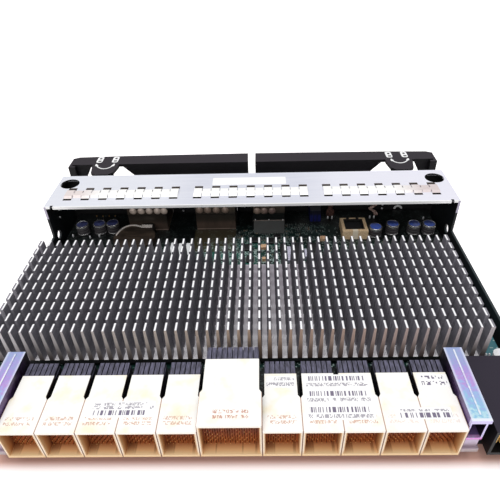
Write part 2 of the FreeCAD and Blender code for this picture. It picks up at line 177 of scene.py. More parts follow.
class Finish(Nodes):
    # one material: Principled values that are the same all over, then nodes for what changes
    def __init__(self, name, **values):
        self.material = bpy.data.materials.new(name)
        self.material.use_nodes = True
        super().__init__(self.material.node_tree)
        self.shader = self.tree.nodes["Principled BSDF"]
        self.kept = {}
        for socket, value in values.items():
            self.put(socket.replace("_", " "), value)

    def put(self, socket, value):
        self.give(self.shader.inputs[socket], value)

    def axis(self, letter):
        # the point's X, Y or Z in millimetres
        if letter not in self.kept:
            place = self.node("TexCoord", out="Object")
            self.kept[letter] = self.node("SeparateXYZ", None, {0: place}, out=letter) * 1000
        return self.kept[letter]

    def facing(self, letter):
        # how far the surface faces along X, Y or Z, from -1 to 1
        key = "facing" + letter
        if key not in self.kept:
            normal = self.node("NewGeometry", out="Normal")
            self.kept[key] = self.node("SeparateXYZ", None, {0: normal}, out=letter)
        return self.kept[key]

    def noise(self, scale, detail=2.0, stretch=(1, 1, 1)):
        place = self.node("Mapping", None, {"Vector": self.node("TexCoord", out="Object"),
                                            "Scale": [s / mm for s in stretch]})
        return self.node("TexNoise", None, {"Vector": place, "Scale": scale, "Detail": detail})

    def chance(self, a, b=0.0):
        # one random number for each pair of whole numbers
        pair = self.node("CombineXYZ", None, {0: a, 1: b})
        return self.node("TexWhiteNoise", {"noise_dimensions": "2D"}, {"Vector": pair}, out="Value")

    def bump(self, height, strength=0.3, distance=0.1):
        values = {"Height": height, "Strength": strength, "Distance": distance * mm}
        self.put("Normal", self.node("Bump", None, values))


def link(name, data):
    made = bpy.data.objects.new(name, data)
    bpy.context.scene.collection.objects.link(made)
    return made


bare = set(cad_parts)


def dress(finish, *nodes):
    for node in nodes:
        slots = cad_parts[node].data.materials
        if not slots:
            slots.append(finish.material)
        for i in range(len(slots)):
            slots[i] = finish.material
        bare.discard(node)


# finishes used on several pieces

def grained(name, dark, pale, rough=0.45, scale=1.5, metallic=0.0, stretch=(1, 1, 1), grain=0.2):
    # a fine cloudy grain between two colours, which also roughens and dimples the surface
    finish = Finish(name, Metallic=metallic)
    cloud = finish.noise(scale, 3, stretch)
    finish.put("Base Color", finish.mix(cloud.soft(0.35, 0.65), dark, pale))
    finish.put("Roughness", rough + 0.12 * cloud)
    finish.bump(cloud, grain, 0.03)
    return finish


steel = grained("brightSteel", (176, 174, 176), (214, 212, 212), 0.3, 0.6, 0.85)
dullSteel = grained("dullSteel", (70, 68, 70), (112, 110, 112), 0.4, 0.6, 0.5)
gold = grained("contactGold", (222, 165, 84), (255, 214, 130), 0.3, 1.2, 0.35)
tin = grained("tin", (226, 226, 230), (250, 250, 252), 0.35, 0.8, 0.2)
copper = grained("copper", (50, 28, 25), (112, 80, 72), 0.4, 1.0, 0.2)
paleCopper = grained("paleCopper", (82, 54, 47), (228, 196, 184), 0.4, 1.2, 0.2)
dimGold = grained("dimGold", (124, 92, 52), (200, 160, 104), 0.35, 1.0, 0.3)
solder = grained("solder", (104, 112, 110), (160, 168, 164), 0.4, 1.0, 0.3)
# painted highlight: the cell's clip is near white
clipWhite = grained("clipWhite", (250, 236, 226), (255, 250, 246), 0.3, 1.0, 0.1)
darkResin = grained("darkResin", (16, 16, 18), (30, 29, 32), 0.5, 1.5)
brownResin = grained("brownResin", (96, 76, 56), (138, 116, 92), 0.5, 1.5)
whiteResin = grained("whiteResin", (232, 234, 238), (252, 252, 253), 0.4, 1.5)


# surfaces

def addMesh(name, points, faces, finishes, body="module", kinds=None, smooth=None):
    mesh = bpy.data.meshes.new(name)
    mesh.from_pydata((points.reshape(-1, 3) * mm).tolist(), [], faces)
    for finish in finishes:
        mesh.materials.append(finish.material)
    if kinds is not None:
        mesh.polygons.foreach_set("material_index", np.asarray(kinds, np.int32))
    if smooth is not None:
        mesh.polygons.foreach_set("use_smooth", np.asarray(smooth, bool))
    mesh.validate()
    mesh.update()
    piece = link(name, mesh)
    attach(piece, body)
    return piece


def loftFaces(pieces, sections, around):
    # quads between neighbouring sections, then one cap at each end, for every piece at once
    base = (np.arange(pieces) * sections * around)[:, None, None]
    low = base + np.arange(sections - 1)[None, :, None] * around
    a = np.arange(around)[None, None, :]
    b = (a + 1) % around
    quads = np.stack([low + a, low + b, low + around + b, low + around + a], -1).reshape(-1, 4)
    first = base[:, 0] + np.arange(around)[::-1]
    last = base[:, 0] + (sections - 1) * around + np.arange(around)
    return quads.tolist() + first.tolist() + last.tolist()


def addLofts(name, rings, finishes, slotName, body="module", kinds=None, smooth=False):
    # rings is (pieces, sections, points round, 3); each piece is closed at both ends. kinds gives
    # the finish of each band between sections, then of the first cap and the last
    pieces, sections, around = rings.shape[:3]
    bands = pieces * (sections - 1) * around
    if kinds is not None:
        kinds = np.concatenate([np.tile(np.repeat(kinds[:sections - 1], around), pieces),
                                np.full(pieces, kinds[-2]), np.full(pieces, kinds[-1])])
    rounded = np.arange(bands + 2 * pieces) < bands if smooth else None
    return addMesh(name, rings, loftFaces(pieces, sections, around), finishes, body, kinds, rounded)


def outlineOf(corner, per):
    # a square of side 1 with rounded corners, anticlockwise: each corner is a quarter circle
    quarter = np.linspace(0, math.pi / 2, per)
    turns = np.concatenate([quarter + k * math.pi / 2 for k in range(4)])
    sx, sy = np.repeat([1, -1, -1, 1], per), np.repeat([1, 1, -1, -1], per)
    reach = 0.5 - corner
    return np.stack([sx * reach + corner * np.cos(turns), sy * reach + corner * np.sin(turns)], 1)


def blocks(lows, sizes, corner=0.08, per=2, ease=0.04):
    # upright blocks on their lowest faces' centres: a rounded square, stretched to each block's size,
    # is lifted to its top and drawn in a little over the last stretch of the height
    outline = outlineOf(corner, per)
    levels, shrink = np.array([0, 1 - 2 * ease, 1]), np.array([1, 1, 1 - 2 * ease])
    shape = np.concatenate([outline[None] * shrink[:, None, None], np.broadcast_to(
        levels[:, None, None], (3, len(outline), 1))], 2)
    return shape[None] * np.reshape(sizes, (-1, 1, 1, 3)) + np.reshape(lows, (-1, 1, 1, 3))


def lathes(centres, radii, heights, around=24, along="Z"):
    # bodies of revolution: one circle for each radius and height, about an axis along Z, or along
    # Y with the heights running towards -Y
    turn = np.linspace(0, 2 * math.pi, around, endpoint=False)
    circle = np.stack([np.cos(turn), np.sin(turn)], 1)
    radii, heights = np.asarray(radii, float), np.asarray(heights, float)
    flat = circle[None] * radii[:, None, None]
    rise = np.broadcast_to(heights[:, None, None], (len(heights), around, 1))
    shape = np.concatenate([flat, rise], 2)
    if along == "Y":
        shape = np.stack([shape[..., 0], -shape[..., 2], shape[..., 1]], -1)
    return shape[None] + np.reshape(centres, (-1, 1, 1, 3))


def ribbon(path, widths, low, high):
    # a strip along a path in X and Y: the path is moved half the width to each side, at two heights,
    # which gives a four-cornered section at every step
    path = np.asarray(path, float)
    ahead = np.gradient(path, axis=0)
    ahead /= np.linalg.norm(ahead, axis=1)[:, None]
    side = np.stack([-ahead[:, 1], ahead[:, 0]], 1) * np.reshape(widths, (-1, 1)) / 2
    corners = [(path + side, low), (path + side, high), (path - side, high), (path - side, low)]
    column = [np.concatenate([edge, np.full((len(path), 1), z)], 1) for edge, z in corners]
    return np.stack(column, 1)[None]


def arcPath(points, steps=28):
    # a smooth line through a few points: each coordinate is a cubic in the distance along the chords
    points = np.asarray(points, float)
    run = np.concatenate([[0], np.cumsum(np.linalg.norm(np.diff(points, axis=0), axis=1))])
    degree = min(4, len(points) - 1)
    t = np.linspace(0, run[-1], steps)
    return np.stack([np.polyval(np.polyfit(run, points[:, k], degree), t) for k in range(2)], 1)


# black powder coat on the tray, the levers and their brackets

def powderCoat(name, side, upper, rough):
    # the upward faces are painted warmer and paler than the sides, as painted light from above, varied by a
    # slow cloud
    finish = Finish(name, Specular_IOR_Level=0.25)
    grain, cloud = finish.noise(2.2, 3), finish.noise(0.05, 2)
    paintedTopLight = finish.facing("Z").soft(0.2, 0.9) * (0.75 + 0.4 * cloud)
    finish.put("Base Color", finish.mix(paintedTopLight, side, upper))
    finish.put("Roughness", rough + 0.12 * grain)
    finish.bump(grain, 0.3, 0.04)
    return finish


leverCoat = powderCoat("leverCoat", (11, 9, 13), (36, 30, 38), 0.55)
dress(leverCoat, "lever_left", "lever_right", "pivot_bracket_left", "pivot_bracket_right")
dress(powderCoat("trayCoat", (27, 30, 33), (46, 54, 57), 0.45), "base_tray")
dress(steel, "pivot_pin_left", "pivot_pin_right")


# zinc-plated housing with its contact strips

bezel = {"lip": 0.62, "wallInside": 95.6, "cutReach": 95, "plate": 28.3, "under": coverTop - 0.9}
strip = {"spacing": 62.0, "pitch": 4.22, "slotWidth": 4.0, "reach": 28.0,
         "rear": (14.7, 17.2), "front": (5.8, 7.5)}


def zincSheet():
    # rolled sheet: fine streaks along X over slow blue-grey clouds, paler towards +X; a painted reflection
    # across the middle, a painted highlight on the lip, and painted shade in the slots and on the inside, which
    # is near black and dull
    finish = Finish("zincSheet", Specular_IOR_Level=0.5)
    x, y, z = (finish.axis(letter) for letter in "XYZ")
    cloud = finish.noise(0.03, 3, (0.5, 1, 1))
    streak = finish.noise(1.2, 3, (0.05, 1.8, 1))
    pale = finish.mix(x.soft(-10, 90), (226, 228, 237), (236, 235, 247))
    # painted reflection: the middle of the top is darker and bluer
    pale = finish.mix(abs(x + 2).soft(42, 24), pale, (214, 216, 228))
    pale = finish.mix(cloud.soft(0.45, 0.7) * 0.4, pale, (212, 214, 230))
    pale = finish.mix(streak.soft(0.4, 0.75) * 0.35, pale, (240, 241, 247))
    # painted highlight: the fold of the front lip is near white
    lip = (y < bezel["lip"]) * (z > bezel["under"] - 1)
    pale = finish.mix(lip, pale, (253, 253, 253))
    edge = (abs(x) > bezel["wallInside"] - 0.2) * (y < 0.05)
    pale = finish.mix(edge, pale, (178, 172, 190))
    # the strips' slots are painted dark as painted shade, a little longer than the cuts themselves
    fromStrip = abs(abs(abs(x) - strip["spacing"] / 2) - strip["spacing"] / 2)
    pitch = strip["pitch"]
    onSlot = abs((fromStrip + pitch).wrap(2 * pitch) - pitch) < strip["slotWidth"] / 2
    slotShade = y.within(*strip["rear"]).either(y.within(*strip["front"])) * (fromStrip < strip["reach"]) * onSlot
    pale = finish.mix(slotShade * (z > bezel["under"]), pale, (58, 44, 36))
    # painted shade: the faceplate's inner face, the inner walls, the underside and the walls of the cuts are
    # near black
    behind = (y > bezel["plate"]) * (finish.facing("Y") < -0.5)
    walls = (abs(x) < bezel["wallInside"]) * (abs(finish.facing("X")) > 0.5) * (z < bezel["under"])
    under = (finish.facing("Z") < -0.5) * (abs(x) < bezel["wallInside"])
    cuts = (abs(finish.facing("Z")) < 0.3) * (z > bezel["under"]) * y.within(1, bezel["plate"]) * (
        abs(x) < bezel["cutReach"])
    insideShade = behind.either(walls).either(under).either(cuts)
    finish.put("Base Color", finish.mix(insideShade, pale, (14, 13, 15)))
    finish.put("Metallic", 0.25 * (1 - insideShade))
    finish.put("Roughness", 0.36 + 0.15 * streak + 0.2 * insideShade)
    finish.bump(streak, 0.12, 0.03)
    return finish


def springTin():
    # tinned fingers: white over most of the width, with a pinkish cast towards both ends
    finish = Finish("springTin", Metallic=0.15, Roughness=0.4)
    wear = finish.noise(0.5, 3, (1, 0.3, 1))
    x = finish.axis("X")
    colour = finish.mix(x.soft(-72, -82), (255, 254, 252), (230, 218, 216))
    colour = finish.mix(x.soft(68, 82), colour, (218, 205, 205))
    finish.put("Base Color", finish.mix(wear.soft(0.6, 0.85) * 0.3, colour, (228, 218, 212)))
    return finish


dress(zincSheet(), "bezel_housing")
dress(springTin(), *[f"emi_strip_{side}" for side in ("left", "centre", "right")])


# circuit board: green mask over traces, with pads

board = {"patch": (5.2, 3.9), "pad": (0.62, 0.5), "group": (3.1, 2.6), "crowdX": (26, 10), "crowdY": (-21, 5),
         "stripFrom": 84, "stripY": (-72, -20), "oliveX": (-28.5, -8), "oliveY": (-7, 11.4)}


def boardMask():
    # rows of fine pads and traces from cells of two sizes, over patches of ground copper; deep is 1
    # where the housing, the sink and the front row keep the light off
    finish = Finish("boardMask", Roughness=0.42)
    x, y = finish.axis("X"), finish.axis("Y")
    patch, fine, group = (finish.chance(x.cell(across), y.cell(along))
                          for across, along in (board["patch"], board["pad"], board["group"]))
    middle = abs(x + 4).soft(*board["crowdX"]) * y.within(*board["crowdY"])
    pads = (fine + 0.3 * middle > 0.84) * (group > 0.3)
    green = finish.mix(patch, (10, 34, 32), (22, 66, 58))
    green = finish.mix(middle * patch * 0.8, green, (44, 112, 100))
    green = finish.mix(finish.noise(0.07, 2).soft(0.5, 0.62) * 0.7, green, (12, 28, 27))
    green = finish.mix((x > board["stripFrom"]) * y.within(*board["stripY"]), green, (58, 112, 122))
    deep = y.soft(-8, 1) * (1 - 0.45 * abs(x - 20).soft(34, 22) * y.soft(16, 12))
    deep = deep.either(abs(x + 3).soft(60, 72) * y.within(-22, 28)).either((y < -76) * 0.92)
    green = finish.mix(deep * 0.96, green, (4, 6, 7))
    olive = x.within(*board["oliveX"]) * y.within(*board["oliveY"])
    green = finish.mix(olive * 0.6, green, (76, 68, 46))
    finish.put("Base Color", finish.mix(pads * (0.8 - 0.7 * deep), green, (170, 190, 186)))
    finish.bump(fine, 0.15, 0.03)
    return finish


dress(boardMask(), "circuit_board")


# heat sink: sawn fins

sink = {"base": 9.85, "front": -74.0, "firstFin": -89.65, "pitch": 3.6}


def sawnAluminium():
    # white sawn tips, dull grey flanks, a pale lilac floor in the channels that is brighter at the front: tips
    # and floor are painted highlight from the lamp above, the flanks painted shade. The first row's front faces
    # carry a painted reflection that goes from whitish at the left through tan to pink, and painted shade
    # darkens them towards the foot
    finish = Finish("sawnAluminium", Metallic=0.2)
    x, y, z = (finish.axis(letter) for letter in "XYZ")
    grain = finish.noise(1.1, 3, (0.25, 0.25, 2.6))
    up = finish.facing("Z").soft(0.5, 0.8)
    low = z < sink["base"]
    # painted light and shade: grey flanks, white tips, a channel floor brighter at the front
    shadedFlank = finish.mix(grain.soft(0.3, 0.7), (118, 116, 124), (150, 147, 156))
    floorWithPaintedLight = finish.mix(y.soft(-74, -30), (255, 252, 255), (224, 216, 226))
    half = sink["pitch"] / 2
    finTipHighlight = abs((x - sink["firstFin"] + half).wrap(sink["pitch"]) - half).soft(0.33, 0.22)
    top = finish.mix(low, finish.mix(finTipHighlight, shadedFlank, (254, 254, 255)), floorWithPaintedLight)
    across = x.soft(-92, 86)
    # painted reflection across the first row's front faces, painted shade towards the foot and below the base
    first = finish.ramp(across, (0.0, (214, 210, 214)), (0.35, (208, 194, 184)),
                        (0.55, (196, 166, 144)), (0.8, (210, 184, 176)), (1.0, (218, 210, 214)))
    first = finish.mix(z.soft(19, 10) * 0.8, first, (84, 64, 60))
    first = finish.mix(low, first, (46, 46, 48))
    front = (0 - finish.facing("Y")).soft(0.5, 0.8) * (y < sink["front"])
    finish.put("Base Color", finish.mix(front, finish.mix(up, shadedFlank, top), first))
    finish.put("Roughness", 0.42 + 0.15 * grain)
    finish.bump(grain, 0.2, 0.04)
    return finish


dress(sawnAluminium(), "heat_sink")
dress(darkResin, "main_chip_1", "main_chip_2", "socket_chip")


# front row: shells, contacts and wafers

shell = {"front": rowFront, "mouthDepth": 4.3, "wall": 0.85, "floor": 1.0, "narrow": 12.0, "fit": 0.05,
         "middle": -5, "reach": 69, "print": ((3.1, 1.15), (4.85, 1.2)), "inkCell": (0.26, 0.42),
         "wornFrom": 40.6}
contact = {"pitchX": 1.5, "pitchZ": 1.05, "thick": 0.26, "reach": 1.3}


def shellPlastic(name, start, pitch, top, grooves, printed, ink):
    # pale outside with two rows of small print; inside the mouths each face is painted its own warm tone as
    # painted light and shade, and painted shade deepens towards the back wall. across is 0 at a shell's left
    # side and pitch at its right
    finish = Finish(name, Roughness=0.5)
    x, y, z = (finish.axis(letter) for letter in "XYZ")
    across = (x - start).wrap(pitch)
    behindFront = y - shell["front"]
    depth = behindFront / shell["mouthDepth"]
    cloud = finish.noise(0.16, 3)
    pale = finish.mix(cloud.soft(0.5, 0.72), (255, 253, 248), (253, 243, 218))
    sizeX, sizeY = shell["inkCell"]
    specks = finish.chance(x.cell(sizeX), y.cell(sizeY)) < 0.5
    letters = specks * (finish.chance(x.cell(3 * sizeX), y.cell(1.5)) < 0.86) * across.within(*printed)
    rows = [behindFront.within(place - height / 2, place + height / 2) for place, height in shell["print"]]
    # the print is worn on the last two shells
    pale = finish.mix(letters * rows[0].either(rows[1]) * (0.75 - 0.45 * (x > shell["wornFrom"])), pale, ink)
    seam = (across < 0.17).either(across > pitch - 0.17)
    pale = finish.mix(seam * 0.85, pale, (190, 146, 124))
    upward, forward = finish.facing("Z") > 0.6, finish.facing("Y") < -0.6
    sideways, mouth = abs(finish.facing("X")) > 0.6, depth < 1.02
    rim = finish.mix(z.soft(9, 6.2), (242, 225, 202), (236, 200, 150))
    rim = finish.mix(across.within(0.6, pitch - 0.6) * (z > 6.9), rim, (206, 160, 112))
    rim = finish.mix(z > top - 0.9, rim, (255, 250, 242))
    rim = finish.mix(seam, rim, (110, 68, 56))
    # painted shade: the mouth's sides and floor darken towards the back wall
    shadedMouthSides = finish.ramp(depth, (0.0, (238, 200, 148)), (0.4, (200, 140, 86)), (1.0, (124, 66, 34)))
    floorWithPaintedLight = finish.ramp(depth, (0.0, (255, 226, 176)), (0.4, (246, 196, 138)), (1.0, (190, 112, 62)))
    # dark lines painted along the floor's grooves, as their painted shade, growing in towards the back
    line = None
    for place, width in grooves:
        mark = abs(across - place).soft(width / 2 + 0.2, width / 2 - 0.1)
        line = mark if line is None else line.either(mark)
    floorWithPaintedLight = finish.mix(line * depth.soft(0.0, 0.6) * 0.6, floorWithPaintedLight, (124, 70, 36))
    # painted shade: the back wall is dark brown, darkest high up, with darker runs
    wall = finish.ramp(z.soft(7, top - 1), (0.0, (176, 98, 46)), (0.35, (138, 60, 22)),
                       (0.85, (92, 34, 12)), (1.0, (150, 84, 44)))
    runs = finish.noise(0.75, 2, (1, 1, 0.1)).soft(0.42, 0.62)
    wall = finish.mix(runs * (0.3 + 0.6 * z.soft(10, top - 2)), wall, (62, 24, 10))
    inner = across.within(shell["wall"] / 2, pitch - shell["wall"] / 2)
    # the sides that face a slot between two shells are in the dark
    inRow = abs(x - shell["middle"]) < shell["reach"]
    between = sideways * (depth > 1.02) * inRow * z.soft(top + 0.1, top - 0.4)
    pale = finish.mix(between, pale, (40, 28, 24))
    colour = finish.mix(sideways * mouth * inner, pale, shadedMouthSides)
    colour = finish.mix(upward * mouth * (z < top - 2), colour, floorWithPaintedLight)
    colour = finish.mix(forward * (behindFront < 0.1), colour, rim)
    colour = finish.mix(forward * depth.within(0.9, 1.1), colour, wall)
    # painted shade on the mouth's top inner face
    colour = finish.mix((finish.facing("Z") < -0.6) * mouth, colour, (120, 66, 36))
    finish.put("Base Color", colour)
    return finish


def waferPlastic():
    # dark blue-grey ribs: paler streaks along Y on the upward faces, near black elsewhere
    finish = Finish("waferPlastic", Roughness=0.42)
    streak = finish.noise(1.6, 2, (1.2, 0.25, 1))
    up = finish.facing("Z").soft(0.3, 0.8)
    colour = finish.mix(streak.soft(0.35, 0.7), (52, 50, 66), (98, 96, 120))
    finish.put("Base Color", finish.mix(up, (24, 23, 30), colour))
    return finish


def contactGold():
    # the pins are painted brown near the back wall, as painted shade deep in the mouth, and bright gold at the
    # tips, as painted glints
    finish = Finish("contactPinGold", Metallic=0.2, Roughness=0.35)
    out = (shell["front"] + shell["mouthDepth"] - finish.axis("Y")) / contact["reach"]
    x, z = finish.axis("X"), finish.axis("Z")
    worn = finish.chance(x.cell(contact["pitchX"] / 2), z.cell(contact["pitchZ"])) < 0.5
    colour = finish.ramp(out, (0.0, (92, 38, 14)), (0.7, (140, 70, 30)), (0.85, (240, 176, 100)),
                         (1.0, (255, 214, 150)))
    finish.put("Base Color", finish.mix(worn * 0.8, colour, (100, 44, 18)))
    return finish


def addContacts():
    # square pins through the back wall of every mouth, each second row moved half a pitch across
    spots = []
    for name in connectorNames:
        low, high = box(name)
        left, right = low[0] + shell["wall"], high[0] - shell["wall"]
        bottom, top = low[2] + shell["floor"], high[2] - shell["floor"]
        columns = int((right - left - 0.6) / contact["pitchX"])
        rows = int((top - bottom - 0.4) / contact["pitchZ"])
        xs = (left + right) / 2 + (np.arange(columns) - (columns - 0.5) / 2) * contact["pitchX"]
        zs = (top + bottom) / 2 + (np.arange(rows) - (rows - 1) / 2) * contact["pitchZ"]
        gx, gz = np.meshgrid(xs, zs)
        gx = gx + (np.arange(rows) % 2)[:, None] * contact["pitchX"] / 2
        spots.append(np.stack([gx.ravel(), np.full(gx.size, low[1] + shell["mouthDepth"]), gz.ravel()], 1))
    half, reach = contact["thick"] / 2, contact["reach"]
    rings = lathes(np.concatenate(spots), (half, half, half * 0.4), (0, reach * 0.8, reach), 6, "Y")
    addLofts("contactPins", rings, [contactGold()], "guide")


firstShell, bigShell, afterBig = (box(connectorNames[i])[0][0] - shell["fit"] / 2 for i in (0, 5, 6))
narrowTop, bigTop = box(connectorNames[0])[1][2], box(connectorNames[5])[1][2]
bigWidth = afterBig - bigShell
narrowGrooves = ((2.2, 2.2), (3.6, 0.5), (9.9, 0.8))
bigGrooves = ((0.25 * bigWidth, 0.3), (0.68 * bigWidth, 0.3), (0.9 * bigWidth, 0.6))
narrowLook = (shell["narrow"], narrowTop, narrowGrooves, (1.6, 10.2), (206, 158, 134))
bigLook = (bigWidth, bigTop, bigGrooves, (4.6, 15.2), (188, 116, 88))
dress(shellPlastic("shellLeft", firstShell, *narrowLook), *connectorNames[:5])
dress(shellPlastic("shellMiddle", bigShell, *bigLook), connectorNames[5])
dress(shellPlastic("shellRight", afterBig, *narrowLook), *connectorNames[6:])
dress(waferPlastic(), *numbered("connector_wafers", 11, 2))
addContacts()
print("front row dressed")


# paper labels: white blanks with bars and dashes in place of print
# rows are kind, left, right, rear, front, all millimetres; bars run from front to rear

label = {"thick": 0.08, "barCell": 0.27, "dashCell": (0.3, 0.4), "wordCell": (1.1, 2.0),
         "boldCell": (0.42, 0.6), "boldPitch": 2.1, "boldWidth": 1.5}
printRows = (("dash", -47.0, -30.8, -99.7, -100.7), ("dash", -48.0, -28.6, -100.9, -102.0),
             ("bars", -47.0, -31.0, -102.4, -104.1),
             ("bars", 19.5, 37.1, -90.4, -92.2), ("dash", 18.5, 38.0, -93.0, -94.3),
             ("bars", 19.5, 37.0, -96.1, -97.9), ("dash", 18.5, 38.0, -98.6, -99.9),
             ("bars", 19.1, 36.9, -101.8, -103.7), ("dash", 18.0, 37.8, -104.3, -105.6),
             ("dash", 46.0, 60.6, -102.8, -103.6), ("bars", 44.8, 61.1, -104.0, -105.7),
             ("dash", 8.5, 15.0, -90.7, -91.9), ("dash", 6.1, 14.9, -92.7, -94.1),
             ("bold", 55.6, 63.5, -90.6, -91.8), ("bold", 55.2, 63.2, -92.7, -94.2))
# a sheet is left, right, front, rear and the height it lies at
labelPlaces = {"labelLeft": (-48.6, -28.2, -104.9, -99.2, narrowTop),
               "labelMiddle": (17.6, 38.6, -106.2, -89.8, narrowTop),
               "labelRight": (44.4, 61.4, -106.2, -102.2, narrowTop),
               "labelSeven": (5.8, 15.4, -94.6, -90.2, narrowTop),
               "labelEleven": (54.2, 63.8, -94.8, -90.0, narrowTop),
               "labelCover": (-19.0, 17.3, 18.0, 25.0, coverTop)}


def labelPaper():
    finish = Finish("labelPaper", Roughness=0.5)
    x, y = finish.axis("X"), finish.axis("Y")
    speck, bold, word = (finish.chance(x.cell(label[key][0]), y.cell(label[key][1])) for key in (
        "dashCell", "boldCell", "wordCell"))
    inks = {"dash": (speck < 0.55) * (word < 0.85), "bars": finish.chance(x.cell(label["barCell"])) < 0.54,
            "bold": (bold < 0.6) * (x.wrap(label["boldPitch"]) < label["boldWidth"])}
    ink = None
    for kind, left, right, rear, front in printRows:
        row = (0.62 if kind == "dash" else 0.88) * inks[kind] * x.within(left, right) * y.within(front, rear)
        ink = row if ink is None else ink.either(row)
    fibre = finish.noise(1.5, 3)
    paper = finish.mix(fibre, (252, 251, 251), (255, 255, 253))
    finish.put("Base Color", finish.mix(ink, paper, (74, 56, 98)))
    finish.bump(fibre, 0.1, 0.02)
    return finish


def addLabels():
    # thin sheets with rounded corners lying on the faces below them
    paper = labelPaper()
    for name, (left, right, front, rear, height) in labelPlaces.items():
        sheet = blocks([(left + right) / 2, (front + rear) / 2, height],
                       [right - left, rear - front, label["thick"]], corner=0.04, per=4, ease=0.004)
        addLofts(name, sheet, [paper], "housing" if height < coverTop else "bezel")


addLabels()


# guide blocks: chromated zinc, its colour drifting along the bar

guide = {"middle": 5.0, "centre": 72.9, "half": 3.0, "front": rowFront + 1.0, "length": 27.4,
         "top": 22.0, "ridge": 22.25, "pocket": (13.65, 20.65)}


def rainbowZinc():
    # blue at the rear through pink to teal at the front, broken up by a fine crystalline patch; painted
    # highlights on the edges, the ridge and the front corner, painted shade on the sides and in the pocket
    finish = Finish("rainbowZinc", Metallic=0.3, Roughness=0.34)
    x, y, z = (finish.axis(letter) for letter in "XYZ")
    patch, drift = finish.noise(0.9, 4), finish.noise(0.12, 2)
    along = (y - guide["front"]) / guide["length"] + 0.8 * (patch - 0.5) + 0.4 * (drift - 0.5)
    colour = finish.ramp(along, (0.0, (192, 226, 236)), (0.14, (150, 200, 228)), (0.34, (166, 178, 230)),
                         (0.52, (190, 152, 218)), (0.68, (172, 156, 220)), (0.95, (156, 172, 214)))
    outwards = abs(abs(x + guide["middle"]) - guide["centre"])
    # painted highlights: the top's side edges, the ridge and the front top corner are paler
    edge = outwards.soft(guide["half"] - 0.9, guide["half"] - 0.3)
    colour = finish.mix(edge * 0.7, colour, (224, 228, 246))
    ridge = (z > guide["ridge"]) * (0.6 + 0.4 * (patch + drift > 0.94))
    corner = (y < guide["front"] + 0.9) * (z > guide["top"] - 1.2)
    colour = finish.mix(ridge.either(corner), colour, (236, 240, 250))
    # painted shade: the sides go from purple at the front to near black at the rear
    side = finish.ramp(along, (0.0, (120, 96, 150)), (0.5, (74, 54, 92)), (0.9, (24, 18, 30)))
    face = finish.ramp(z.soft(6, 21) + 0.2 * (patch - 0.5), (0.0, (160, 144, 142)), (0.34, (196, 180, 206)),
                       (0.46, (214, 120, 204)), (0.55, (200, 190, 232)), (1.0, (206, 198, 238)))
    face = finish.mix((y < guide["front"] + 1.0), side, face)
    # painted shade: the pocket's inside is near black
    pocket = z.within(*guide["pocket"]) * (y > guide["front"] + 0.1) * (outwards < guide["half"] - 0.35)
    face = finish.mix(pocket, face, (14, 10, 16))
    above = (finish.facing("Z").soft(0.3, 0.7) * (z > guide["top"] - 0.2)).either(z > guide["ridge"])
    finish.put("Base Color", finish.mix(above, face, colour))
    finish.bump(patch, 0.12, 0.04)
    return finish


dress(rainbowZinc(), "guide_block_left", "guide_block_right")


# power connector and the parts at the right-hand corner

power = {"bays": 3, "blade": (0.9, 5.0, 5.5), "spread": 1.7, "inset": 2.0, "topFrom": 16, "paleLineFrom": 17.2}
header = {"first": (84.6, -74.5), "pitch": 1.15, "thick": 0.62, "height": 3.2}


def powerPlastic():
    # glass-filled resin: paler and warmer on the upward faces above topFrom, near black on the faces, a paler
    # line over the mouths
    finish = Finish("powerPlastic", Specular_IOR_Level=0.25)
    grain = finish.noise(1.8, 3)
    z = finish.axis("Z")
    up = finish.facing("Z").soft(0.5, 0.9) * (z > power["topFrom"])
    face = (finish.facing("Y") < -0.6) * (finish.axis("Y") < rowFront + 0.1)
    colour = finish.mix(grain * 0.3, (8, 7, 9), (20, 18, 22))
    colour = finish.mix(up, colour, (38, 32, 46))
    finish.put("Base Color", finish.mix(face * (z > power["paleLineFrom"]), colour, (34, 30, 36)))
    finish.put("Roughness", 0.4 + 0.15 * grain)
    finish.bump(grain, 0.25, 0.03)
    return finish


def addPowerBlades():
    # two upright blades in each bay, set half the spread to each side of the bay's middle
    low, high = box("power_connector")
    step = (high[0] - low[0]) / power["bays"]
    centres = low[0] + step * (np.arange(power["bays"]) + 0.5)
    xs = (centres[:, None] + np.array([-1, 1]) * power["spread"] / 2).ravel()
    thick, deep, tall = power["blade"]
    lows = np.stack([xs, np.full(len(xs), low[1] + power["inset"] + deep / 2),
                     np.full(len(xs), (low[2] + high[2] - tall) / 2)], 1)
    blades = blocks(lows, np.tile([thick, deep, tall], (len(xs), 1)), ease=0.08)
    addLofts("powerBlades", blades, [gold], "power")


def addHeader():
    # three by two square pins standing on an even grid in a low seat
    first, pitch = header["first"], header["pitch"]
    gx, gy = np.meshgrid(np.arange(3) * pitch, np.arange(2) * pitch)
    lows = np.stack([first[0] + gx.ravel(), first[1] + gy.ravel(), np.full(6, boardTop)], 1)
    pins = blocks(lows, np.tile([header["thick"]] * 2 + [header["height"]], (6, 1)), ease=0.1)
    addLofts("headerPins", pins, [tin], "board")
    seat = blocks([first[0] + pitch, first[1] + pitch / 2, boardTop], [3 * pitch, 2 * pitch, 1.4])
    addLofts("headerSeat", seat, [darkResin], "board")


dress(powerPlastic(), "power_connector")
dress(whiteResin, "corner_plug")
addPowerBlades()
addHeader()
print("labels, guides and power connector dressed")


# capacitors: ringed sleeve, rolled bright rim round a blue end, bright foot

can = {"radius": 3.15, "rearY": (10.9, 6.2), "ringPitch": 1.25, "foot": 0.6}


def canSleeve():
    finish = Finish("canSleeve", Roughness=0.4)
    z = finish.axis("Z")
    ring = (z - boardTop).wrap(can["ringPitch"]).soft(0.1, 0.4)
    colour = finish.mix(ring, (112, 108, 110), (62, 59, 62))
    finish.put("Base Color", finish.mix(z < boardTop + can["foot"] + 0.02, colour, (18, 18, 20)))
    return finish


